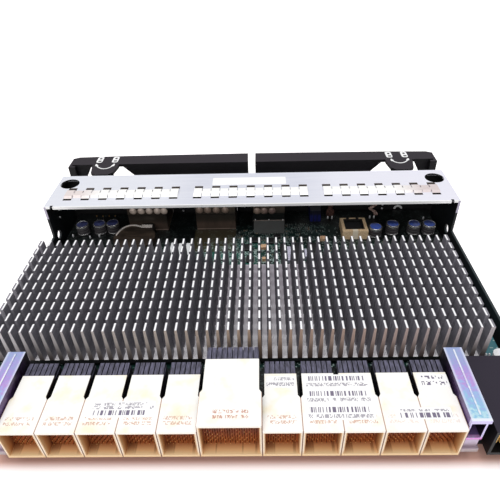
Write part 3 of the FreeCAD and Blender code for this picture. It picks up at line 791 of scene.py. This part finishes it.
def canBlue():
    # printed end: a blue field, duller on the left caps, with painted shade darkening its rear half
    finish = Finish("canBlue", Roughness=0.3)
    cloud = finish.noise(0.4, 2)
    right = finish.axis("X").soft(0, 20)
    blue = finish.mix(right, (70, 76, 128), (78, 106, 204))
    blue = finish.mix(cloud.soft(0.45, 0.7), blue, (112, 124, 184))
    # painted shade over the rear of each end, with a saw-toothed edge
    middle = can["rearY"][0] + (can["rearY"][1] - can["rearY"][0]) * right
    rear = (finish.axis("Y") - middle + 0.4 * finish.axis("X").wrap(1.7)).soft(0.2, 1.4)
    finish.put("Base Color", finish.mix(rear * 0.75, blue, (20, 24, 58)))
    return finish


def canRim():
    # the rolled edge and the foot catch the light along their front only
    finish = Finish("canRim", Metallic=0.75, Roughness=0.22)
    front = (0 - finish.facing("Y")).soft(-0.3, 0.45)
    finish.put("Base Color", finish.mix(front, (44, 44, 52), (255, 255, 255)))
    return finish


def addCanRims():
    # a rolled edge that climbs the side, crosses over and drops to the end, and a low ring at the foot
    spots = []
    for name in capacitorNames:
        low, high = box(name)
        spots.append([(low[0] + high[0]) / 2, (low[1] + high[1]) / 2, 0])
    r = can["radius"]
    rims = lathes(spots, (r + 0.04, r + 0.04, r - 0.08, r - 0.3, r - 0.42, r - 0.5),
                  canTop + np.array([-1.0, -0.4, -0.04, 0.1, 0.08, 0.03]), 32)
    addLofts("capacitorEnds", rims, [rimSteel, canBlue()], "capacitor", kinds=[0] * 6 + [1], smooth=True)
    feet = lathes(spots, (r + 0.02, r + 0.06, r + 0.04, r),
                  boardTop + can["foot"] + np.array([0, 0.1, 0.26, 0.3]), 32)
    addLofts("capacitorFeet", feet, [rimSteel], "capacitor", kinds=[0] * 5, smooth=True)


rimSteel = canRim()
dress(canSleeve(), *capacitorNames)
addCanRims()


# port cages, the port between them and the socketed chip

cage = {"dimpleRadius": 2.05, "bulge": 0.85, "skirt": (1.1, 16.4, 7.4, 10.9), "dimples": (
    (-58.6, 17.8), (-54.6, 17.7), (-50.6, 17.7), (-46.6, 17.6), (-43.3, 17.6),
    (-25.6, 17.8), (-21.6, 17.8), (-17.3, 17.7), (-12.9, 17.7), (2.9, 16.8), (6.4, 16.8), (10.2, 16.7)),
    "studs": ((1.9, 11.6), (8.7, 11.5), (15.7, 11.3)), "sill": (6.2, 6.7), "hem": (10.9, 11.3),
    "lowerPanel": 15}


def cageSheet():
    # tinned steel in brown tones with drawn vertical haze; painted light from the cover's slots makes it paler
    # near the top, painted shade darker just under the dimples, and it is paler low down
    finish = Finish("cageSheet", Metallic=0.35)
    x, z = finish.axis("X"), finish.axis("Z")
    haze = finish.noise(0.5, 3, (0.5, 1, 0.15))
    colour = finish.ramp(z.soft(5, 25), (0.0, (92, 80, 70)), (0.22, (104, 86, 76)), (0.34, (62, 54, 46)),
                         (0.5, (46, 40, 35)), (0.62, (88, 76, 66)), (0.8, (110, 94, 82)))
    # the third cage has a dark lower panel with a bright hem; the first two have a bright sill
    panel = finish.mix(z.soft(boardTop, 11), (27, 32, 30), (15, 18, 18))
    colour = finish.mix((x > 0) * (z < cage["lowerPanel"]), colour, panel)
    colour = finish.mix((x > 0) * z.within(*cage["hem"]), colour, (150, 140, 134))
    colour = finish.mix((x < 0) * z.within(*cage["sill"]), colour, (170, 148, 136))
    finish.put("Base Color", finish.mix(haze.soft(0.4, 0.7) * 0.45, colour, (36, 32, 29)))
    finish.put("Roughness", 0.34 + 0.15 * haze)
    return finish


def dimpleTin():
    # the crown of each dimple is painted bright, as painted light through the cover's slots, brightest on the
    # first cage; its flank keeps the sheet's brown
    finish = Finish("dimpleTin", Metallic=0.2, Roughness=0.35)
    crown = (0 - finish.facing("Y")).soft(0.6, 1.0)
    x = finish.axis("X")
    slotLightTone = finish.mix(x.soft(-35, -30), (236, 216, 202), (166, 142, 128))
    slotLightTone = finish.mix(x.soft(4, 8), slotLightTone, (136, 112, 106))
    finish.put("Base Color", finish.mix(crown, (92, 80, 70), slotLightTone))
    return finish


def addDimples():
    # shallow caps of a sphere pressed forwards out of each cage's front
    spots = [(x, cageFace, z) for x, z in cage["dimples"]]
    turn = np.linspace(1, 0.06, 7)
    rings = lathes(spots, cage["dimpleRadius"] * turn, cage["bulge"] * (1 - turn ** 2), 24, "Y")
    addLofts("cageDimples", rings, [dimpleTin()], "cage", kinds=[0] * 8, smooth=True)


def addSkirt(finish):
    # a bent sheet below the third cage: a wedge that runs forwards and down to the board, with three
    # bright studs along its upper edge
    left, right, front, top = cage["skirt"]
    section = np.array([(cageFace, boardTop), (cageFace, top), (cageFace - 0.3, top), (front, boardTop)])
    xs = np.array([left, right])
    rings = np.concatenate([np.broadcast_to(xs[:, None, None], (2, 4, 1)),
                            np.broadcast_to(section, (2, 4, 2))], 2)[None]
    addLofts("cageSkirt", rings, [finish], "cage")
    spots = [(x, cageFace, z) for x, z in cage["studs"]]
    addLofts("skirtStuds", lathes(spots, (0.3, 0.3, 0.1), (0, 0.3, 0.4), 12, "Y"), [tin], "cage", smooth=True)


cageFinish = cageSheet()
dress(cageFinish, *numbered("port_cage", 3))
addSkirt(cageFinish)


def portBlue():
    # a blue shell whose upper half stays in the dark, with two darker lines down its front
    finish = Finish("portBlue", Roughness=0.45)
    x, z = finish.axis("X"), finish.axis("Z")
    middle = float(sum(corner[0] for corner in box("blue_port"))) / 2
    colour = finish.mix(finish.noise(0.8, 2), (14, 18, 74), (24, 32, 110))
    dark = z.soft(9.2, 10.4).either(abs(abs(x - middle) - 0.9) < 0.22)
    finish.put("Base Color", finish.mix(dark * 0.9, colour, (8, 8, 14)))
    return finish


dress(portBlue(), "blue_port")


socket = {"open": 4.7, "front": 1.9, "rear": 1.0, "latch": (1.3, 2.2), "gaps": (1.7, 3.1)}


def socketResin():
    # tan frame; its inner ledge and the gaps between the three rear prongs lie in the chip's shadow
    finish = Finish("socketResin", Roughness=0.5)
    (left, front, _), (right, rear, _) = (map(float, corner) for corner in box("chip_socket"))
    x, y, z = (finish.axis(letter) for letter in "XYZ")
    grain = finish.noise(1.5, 3)
    fromMiddle = abs(x - (left + right) / 2)
    colour = finish.mix(grain.soft(0.35, 0.65), (222, 186, 142), (248, 220, 182))
    latch = (fromMiddle < socket["latch"][0]) * (y < front + socket["latch"][1])
    colour = finish.mix(latch, colour, (255, 240, 218))
    ledge = (fromMiddle < socket["open"]) * y.within(front + socket["front"], rear - socket["rear"])
    gaps = fromMiddle.within(*socket["gaps"]) * (y > rear - socket["rear"] - 0.1)
    dark = ledge.either(gaps) * (z > boardTop + 1)
    finish.put("Base Color", finish.mix(dark, colour, (14, 12, 12)))
    finish.bump(grain, 0.2, 0.03)
    return finish


dress(socketResin(), "chip_socket")
addDimples()


# coin cell, its holder and the clip that bends over its rear edge, painted near white as a painted highlight

clip = {"edge": ((-65.9, 1.0), (-65.0, 4.6), (-63.4, 7.4), (-61.3, 9.2), (-59.2, 9.6), (-56.8, 8.7),
                 (-54.7, 8.1)),
        "tab": ((-54.9, 8.3), (-49.6, 8.3)), "low": 10.5, "high": 10.95, "width": 0.7, "tabWidth": 2.2}


def cellSteel():
    # brushed can with a tarnished centre
    finish = Finish("cellSteel", Metallic=0.4)
    brushed = finish.noise(0.9, 3, (0.15, 1.5, 1))
    cloud = finish.noise(0.2, 2)
    colour = finish.mix(brushed.soft(0.35, 0.7), (44, 36, 31), (82, 69, 58))
    finish.put("Base Color", finish.mix(cloud.soft(0.45, 0.65) * 0.6, colour, (38, 30, 25)))
    finish.put("Roughness", 0.35 + 0.2 * brushed)
    return finish


def addClip():
    # a ribbon that widens along the arc, then a straight tab whose width steps in and out
    path = arcPath(clip["edge"])
    widths = clip["width"] * np.linspace(0.6, 1.0, len(path))
    addLofts("cellClip", ribbon(path, widths, clip["low"], clip["high"]), [clipWhite], "cell")
    steps = 9
    widths = clip["tabWidth"] * (1 + 0.12 * np.cos(np.arange(steps) * math.pi))
    tab = ribbon(np.linspace(*clip["tab"], steps), widths, clip["low"] + 0.2, clip["high"])
    addLofts("cellTab", tab, [clipWhite], "cell")


dress(cellSteel(), "coin_cell")
dress(grained("holderResin", (16, 14, 14), (28, 24, 22), 0.5), "cell_holder")
addClip()


# parts standing on the board; a zone is left, right, front, rear, and a block is its middle in X and
# in Y, then width, depth and height, all millimetres

parts = {"grid": 1.25, "small": (1.1, 0.6, 0.45), "count": 460, "seatGap": 0.8, "low": 2.5, "tanShare": 8,
         "legPitch": 0.8, "leg": (0.6, 0.35, 0.4)}
zones = ((-92, 91.5, -20.8, 0.5), (-8, 46, -20.8, 10.8), (85.6, 91.5, -60.0, -24.0),
         (17.5, 29.0, 11.0, 15.0))
chips = ((1.7, 1.2, 4.6, 3.4, 1.2), (-2.3, -4.8, 4.4, 4.4, 1.3), (-44.0, -16.0, 6.0, 4.4, 1.4),
         (9.0, 0.3, 3.6, 4.2, 1.2), (-0.6, -13.6, 3.4, 4.6, 1.2), (56.0, -12.2, 5.2, 4.0, 1.4),
         (74.0, -9.6, 6.4, 4.6, 1.4), (-80.0, -6.4, 6.0, 5.0, 1.5), (-22.0, -14.0, 4.4, 3.4, 1.2),
         (12.6, 4.4, 3.4, 2.8, 1.1), (88.4, -32.0, 3.6, 5.4, 1.3), (88.2, -52.0, 3.8, 4.8, 1.3))
darkBlocks = ((15.1, -9.9, 2.6, 15.4, 1.1), (21.6, -9.9, 4.6, 15.4, 1.4), (28.9, -9.9, 4.8, 15.4, 1.2))
whiteBlocks = ((-37.7, -6.6, 2.3, 9.4, 2.4), (-33.8, -7.0, 2.3, 9.0, 2.4), (-30.3, -7.0, 2.3, 9.0, 2.4))
lilacBlocks = ((17.8, -11.0, 1.7, 10.6, 2.0), (25.6, -10.6, 1.1, 5.8, 1.8))
tanBlocks = ((34.9, 1.5, 2.9, 2.2, 1.7), (6.0, -4.6, 3.2, 2.4, 1.6), (5.9, -14.0, 1.7, 1.7, 1.6),
             (80.0, -4.0, 1.8, 1.4, 1.2), (-90.2, -1.0, 1.6, 1.4, 1.2))


def rowsToBlocks(rows, corner):
    rows = np.array(rows, float)
    lows = np.stack([rows[:, 0], rows[:, 1], np.full(len(rows), boardTop)], 1)
    return blocks(lows, rows[:, 2:5], corner, ease=0.05)


def addSmallParts():
    # seeded two-ended parts on a grid, kept clear of everything that already stands on the board:
    # each is a bar with a metal stretch at both ends, lying along X or along Y
    around = ("base_tray", "circuit_board", "bezel_housing")
    keep = [box(name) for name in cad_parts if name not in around]
    keep = np.array([np.concatenate([low[:2], high[:2]]) for low, high in keep
                     if low[2] < boardTop + parts["low"]])
    placed = np.array([(x - w / 2, y - d / 2, x + w / 2, y + d / 2)
                       for x, y, w, d, _ in chips + darkBlocks + whiteBlocks + lilacBlocks + tanBlocks])
    keep = np.concatenate([keep, placed])
    spots = np.array([zones[i][:2] + zones[i][2:] for i in rng.integers(0, len(zones), 6 * parts["count"])])
    x = spots[:, 0] + rng.random(len(spots)) * (spots[:, 1] - spots[:, 0])
    y = spots[:, 2] + rng.random(len(spots)) * (spots[:, 3] - spots[:, 2])
    x, y = (np.round(v / parts["grid"]) * parts["grid"] for v in (x, y))
    gap = parts["seatGap"]
    hit = ((x[:, None] > keep[None, :, 0] - gap) & (x[:, None] < keep[None, :, 2] + gap)
           & (y[:, None] > keep[None, :, 1] - gap) & (y[:, None] < keep[None, :, 3] + gap)).any(1)
    x, y = np.unique(np.stack([x[~hit], y[~hit]], 1), axis=0).T
    order = rng.permutation(len(x))[:parts["count"]]
    x, y, turned = x[order], y[order], rng.random(len(order)) < 0.5
    length, width, height = parts["small"]
    along = np.array([-0.5, -0.28, -0.28, 0.28, 0.28, 0.5]) * length
    girth = np.array([1, 1, 0.88, 0.88, 1, 1])
    square = np.array([[-0.5, 0], [0.5, 0], [0.5, 1], [-0.5, 1]])
    rings = np.zeros((len(x), 6, 4, 3))
    rings[..., 0] = along[None, :, None]
    rings[..., 1] = square[None, None, :, 0] * width * girth[None, :, None]
    rings[..., 2] = square[None, None, :, 1] * height * girth[None, :, None]
    swapped = np.stack([-rings[..., 1], rings[..., 0], rings[..., 2]], -1)
    rings = np.where(turned[:, None, None, None], swapped, rings)
    rings += np.stack([x, y, np.full(len(x), boardTop)], 1)[:, None, None, :]
    tans = len(x) // parts["tanShare"]
    for name, body, share in (("smallPartsTan", brownResin, rings[:tans]),
                              ("smallPartsDark", darkResin, rings[tans:])):
        addLofts(name, share, [solder, body], "board", kinds=[0, 0, 1, 0, 0, 0, 0])


def addChipPins():
    # short legs at even steps down the left and right sides of every chip, as one block each
    lows, sizes, pitch = [], [], parts["legPitch"]
    for x, y, width, depth, _ in chips:
        count = int(depth / pitch)
        ys = y + (np.arange(count) - (count - 1) / 2) * pitch
        for side in (-1, 1):
            lows += [(x + side * (width / 2 + 0.25), v, boardTop) for v in ys]
            sizes += [parts["leg"]] * count
    addLofts("chipLegs", blocks(lows, sizes), [solder], "board")


addSmallParts()
addChipPins()
lilacResin = grained("lilacResin", (176, 172, 196), (214, 212, 228), 0.45)
tanCoat = grained("tanCoat", (186, 132, 100), (238, 206, 168), 0.45)
for name, rows, finish, corner in (
        ("boardChips", chips + darkBlocks, darkResin, 0.06), ("whiteConnectors", whiteBlocks, whiteResin, 0.06),
        ("lilacParts", lilacBlocks, lilacResin, 0.06), ("tanParts", tanBlocks, tanCoat, 0.12)):
    addLofts(name, rowsToBlocks(rows, corner), [finish], "board")


# copper parts under the housing, solder and lamp dots

standing = {"thick": 1.6, "foot": 0.36, "footApart": 1.1, "footAhead": 0.9,
            "otherFeet": ((-90.0, 7.0), (-81.0, 5.6), (-76.6, 6.6), (88.2, 18.0)),
            "heights": (7.4, 8.0, 9.6, 10.8, 11.4, 12.0, 13.4, 14.0), "bodies": {
                "copperBody": {"place": (40.5, 20.8), "finish": copper, "drift": (0,) * 8,
                               "width": (3.8, 4.2, 4.0, 3.6, 1.6, 2.4, 2.6, 1.2)},
                "copperTwist": {"place": (62.2, 20.8), "finish": paleCopper,
                                "drift": (2.0, 1.8, 0.9, -1.0, -1.4, -0.4, 1.0, 1.2),
                                "width": (2.2, 2.4, 2.2, 2.0, 1.8, 1.8, 2.2, 1.4)}}}
lamps = {"across": (-80.8, -77.6, -74.3, -71.2), "y": 20.0, "height": 9.2, "stem": (0.4, 0.4, 3.4)}


def addStanding():
    # flat bodies on two solder feet: an oval outline carried upwards while it narrows and shifts sideways
    outline, heights = outlineOf(0.35, 4), np.array(standing["heights"])
    spots = []
    for name, body in standing["bodies"].items():
        x, y = body["place"]
        drift, width = (np.array(body[key])[:, None] for key in ("drift", "width"))
        rings = np.zeros((1, len(heights), len(outline), 3))
        rings[0, :, :, 0] = x + drift + outline[None, :, 0] * width
        rings[0, :, :, 1] = y + outline[None, :, 1] * standing["thick"]
        rings[0, :, :, 2] = heights[:, None]
        addLofts(name, rings, [body["finish"]], "board", smooth=True)
        spots += [(x + side * standing["footApart"], y - standing["footAhead"], boardTop) for side in (-1, 1)]
    spots += [(x, y, boardTop) for x, y in standing["otherFeet"]]
    r = standing["foot"]
    feet = lathes(spots, (r * 1.3, r * 1.2, r * 0.8, r * 0.2), (0, 0.9, 1.5, 1.7), 14)
    addLofts("solderFeet", feet, [tin], "board", smooth=True)


def addLamps():
    # small round domes on square stems
    domes = lathes([(x, lamps["y"], lamps["height"]) for x in lamps["across"]],
                   (0.26, 0.28, 0.18), (0, 0.4, 0.6), 12)
    addLofts("lampDots", domes, [dimGold], "board", smooth=True)
    feet = [(x, lamps["y"], boardTop) for x in lamps["across"]]
    stems = blocks(feet, [lamps["stem"]] * len(feet))
    addLofts("lampStems", stems, [darkResin], "board")


eyelet = {"place": (77.5, 28.45, 5.8), "radius": 2.4}


def eyeletTin():
    # the upper outer ring of the eyelet is painted white, as painted light where the plate's hole lets light
    # through;
    # the rest is near black
    finish = Finish("eyeletTin", Roughness=0.35)
    x, _, z = (finish.axis(letter) - eyelet["place"][i] for i, letter in enumerate("XYZ"))
    holeLightRing = (x * x + z * z > (0.6 * eyelet["radius"]) ** 2) * (z > 0.2)
    finish.put("Base Color", finish.mix(holeLightRing, (14, 13, 14), (255, 255, 255)))
    return finish


def addEyelet():
    # a low dome turned about Y: the radius shrinks as it comes forward
    r = eyelet["radius"]
    rings = lathes(eyelet["place"], (r, r, 0.9 * r, 0.5 * r, 0.1 * r), (0, 0.3, 0.5, 0.6, 0.62), 28, "Y")
    addLofts("plateEyelet", rings, [eyeletTin()], "bezel", smooth=True)


plateDots = {"plate": 28.5, "onPlate": ((-65.2, 8.4), (-36.9, 6.6), (-4.0, 8.6), (69.2, 8.4), (69.2, 6.2)),
             "onWall": ((-95.3, 11.9, 19.0), (-95.3, 10.4, 15.75))}


def addPlateDots():
    # low round tin discs on the inner sides of the faceplate and of the left wall, as painted light where holes
    # let light through
    spots = [(x, plateDots["plate"], z) for x, z in plateDots["onPlate"]] + list(plateDots["onWall"])
    holeLightDiscs = lathes(spots, (0.55, 0.55, 0.4, 0.1), (0, 0.25, 0.4, 0.45), 14, "Y")
    addLofts("plateHoleLights", holeLightDiscs, [tin], "bezel", smooth=True)


boardScrew = {"spots": ((-88.0, -93.0), (89.0, -42.05)), "radius": 2.4, "rise": 1.5}


def addScrews():
    # pan heads with a round drive pit: the profile climbs the side, crosses the crown and drops in
    r, h = boardScrew["radius"], boardScrew["rise"]
    radii = (r, r, 0.92 * r, 0.7 * r, 0.42 * r, 0.4 * r, 0.05 * r)
    heights = (0, 0.5 * h, 0.82 * h, 0.97 * h, h, 0.45 * h, 0.4 * h)
    spots = [(x, y, boardTop) for x, y in boardScrew["spots"]]
    addLofts("boardScrews", lathes(spots, radii, heights, 28), [dullSteel], "pin", smooth=True)


addStanding()
addLamps()
addPlateDots()
addEyelet()
addScrews()
print("board parts placed")


# release pictograms on the levers: two tags joined by a turning arrow

pictogram = {"thick": 0.06, "tag": (3.3, 6.6), "line": 0.65, "head": 1.4, "steps": 36, "headSteps": 6,
             "slots": ((0.2, -1.7), (0.1, 1.2)), "slotSizes": ((1.7, 1.3), (1.2, 1.5)),
             "lever_left": {"tags": ((-82.3, 48.2), (-73.9, 48.2)),
                            "arc": ((-83.2, 43.3), (-81.5, 40.0), (-79.7, 38.4), (-77.7, 37.9), (-75.6, 38.5),
                                    (-74.4, 40.4), (-73.5, 43.3))},
             "lever_right": {"tags": ((73.8, 48.3), (82.0, 48.3)),
                             "arc": ((74.2, 43.4), (74.5, 41.4), (75.5, 39.7), (77.9, 38.6), (80.9, 39.9),
                                     (82.3, 41.6), (83.2, 43.7))}}


def addPictograms(lever):
    # two rounded tags with two dark slots each, and a ribbon along the arc that widens at its ends
    sign, steps, headSteps = (pictogram[key] for key in (lever, "steps", "headSteps"))
    wide, deep = pictogram["tag"]
    thick = pictogram["thick"]
    tags = [(x, y, leverTop) for x, y in sign["tags"]]
    ink = grained("signWhite" + lever[6:].title(), (238, 238, 240), (254, 254, 254), 0.5)
    addLofts(lever + "_tags", blocks(tags, [(wide, deep, thick)] * 2, 0.22, 5, 0.01), [ink], "lever", lever)
    slots = [(x + dx, y + dy, leverTop) for x, y in sign["tags"] for dx, dy in pictogram["slots"]]
    sizes = [(*size, thick + 0.03) for size in pictogram["slotSizes"]] * 2
    addLofts(lever + "_slots", blocks(slots, sizes, 0.2, 4, 0.01), [leverCoat], "lever", lever)
    path = arcPath(sign["arc"], steps)
    ends = np.minimum(np.arange(steps), np.arange(steps)[::-1])
    widths = np.where(ends < headSteps, pictogram["head"] * (0.35 + ends / headSteps), pictogram["line"])
    addLofts(lever + "_arc", ribbon(path, widths, leverTop, leverTop + thick), [ink], "lever", lever)


for lever in ("lever_left", "lever_right"):
    addPictograms(lever)
print("pictograms placed; nodes without a finish:", sorted(bare))


# floor, world, lamps and camera

# side, rear and front say where the object's outline ends; a run is where a change starts and ends,
# as a distance outwards from that outline
ground = {"half": 3.0, "side": 97, "rear": 53, "front": -109.5, "glow": 0.5, "glowRun": (-1.7, 1.2),
          "farRun": (1, 7), "farShare": 0.3, "shadowTintRun": (-1, 2.6), "shadowTintY": (-80, -20)}


def addFloor():
    half = ground["half"]
    mesh = bpy.data.meshes.new("floor")
    corners = [(-half, -half, 0), (half, -half, 0), (half, half, 0), (-half, half, 0)]
    mesh.from_pydata(corners, [], [[0, 1, 2, 3]])
    paper = Finish("floorPaper", Roughness=0.9, Specular_IOR_Level=0.1)
    # the glow rises outwards from the object's edge, so the shadow under it stays and a painted contact shadow
    # lies round the outline; the paper is painted warm in front, close to the row, as the painted colour of
    # that shadow
    x, y = paper.axis("X"), paper.axis("Y")
    outside = (abs(x) - ground["side"]).either(y - ground["rear"]).either(ground["front"] - y)
    far = outside.soft(*ground["farRun"])
    glowClearOfShadow = outside.soft(*ground["glowRun"]) * (1 - ground["farShare"] + ground["farShare"] * far)
    clearOfShadowTint = outside.soft(*ground["shadowTintRun"]).either(y.soft(*ground["shadowTintY"]))
    paper.put("Base Color", paper.mix(clearOfShadowTint, (238, 188, 172), (254, 251, 251)))
    plain = Wire(paper, paper.shader.outputs[0])
    glow = paper.node("Emission", None, {"Color": (1.0, 0.985, 0.985, 1.0), "Strength": ground["glow"]})
    lit = paper.node("AddShader", None, {0: plain, 1: glow})
    shown = paper.node("MixShader", None, {0: paper.seen() * glowClearOfShadow, 1: plain, 2: lit})
    paper.give(paper.tree.nodes["Material Output"].inputs["Surface"], shown)
    mesh.materials.append(paper.material)
    link("floor", mesh)


def addWorld():
    # an even white light of its own strength on the scene, and plain backdrop where the camera looks
    world = bpy.data.worlds.new("studio")
    bpy.context.scene.world = world
    world.use_nodes = True
    sky = Nodes(world.node_tree)
    ambient = sky.tree.nodes["Background"]
    sky.give(ambient.inputs["Color"], (255, 255, 255))
    sky.give(ambient.inputs["Strength"], light["world"])
    backdrop = sky.node("Background", None, {"Strength": 1.0})
    shown = sky.node("MixShader", None, {0: sky.seen(), 1: Wire(sky, ambient.outputs[0]), 2: backdrop})
    sky.give(sky.tree.nodes["World Output"].inputs["Surface"], shown)


def addLamp(name):
    lamp = light[name]
    data = bpy.data.lights.new(name, "AREA")
    data.shape, data.size, data.energy = "SQUARE", lamp["size"] * mm, lamp["power"]
    made = link(name, data)
    made.location = [v * mm for v in lamp["place"]]
    aim = np.array(light["aim"]) - np.array(lamp["place"])
    made.rotation_euler = (math.atan2(math.hypot(aim[0], aim[1]), -aim[2]), 0, math.atan2(-aim[0], aim[1]))


def addCamera():
    data = bpy.data.cameras.new("camera")
    data.lens, data.sensor_width, data.shift_x = view["lens"], view["sensor"], view["shiftX"]
    data.clip_start = 0.005
    camera = link("camera", data)
    camera.location = [v * mm for v in view["place"]]
    camera.rotation_euler = [math.radians(v) for v in view["turn"]]
    bpy.context.scene.camera = camera


addCamera()
addFloor()
addWorld()
addLamp("key")
addLamp("fill")
bpy.context.scene.view_settings.view_transform = "Standard"
print("scene lit")
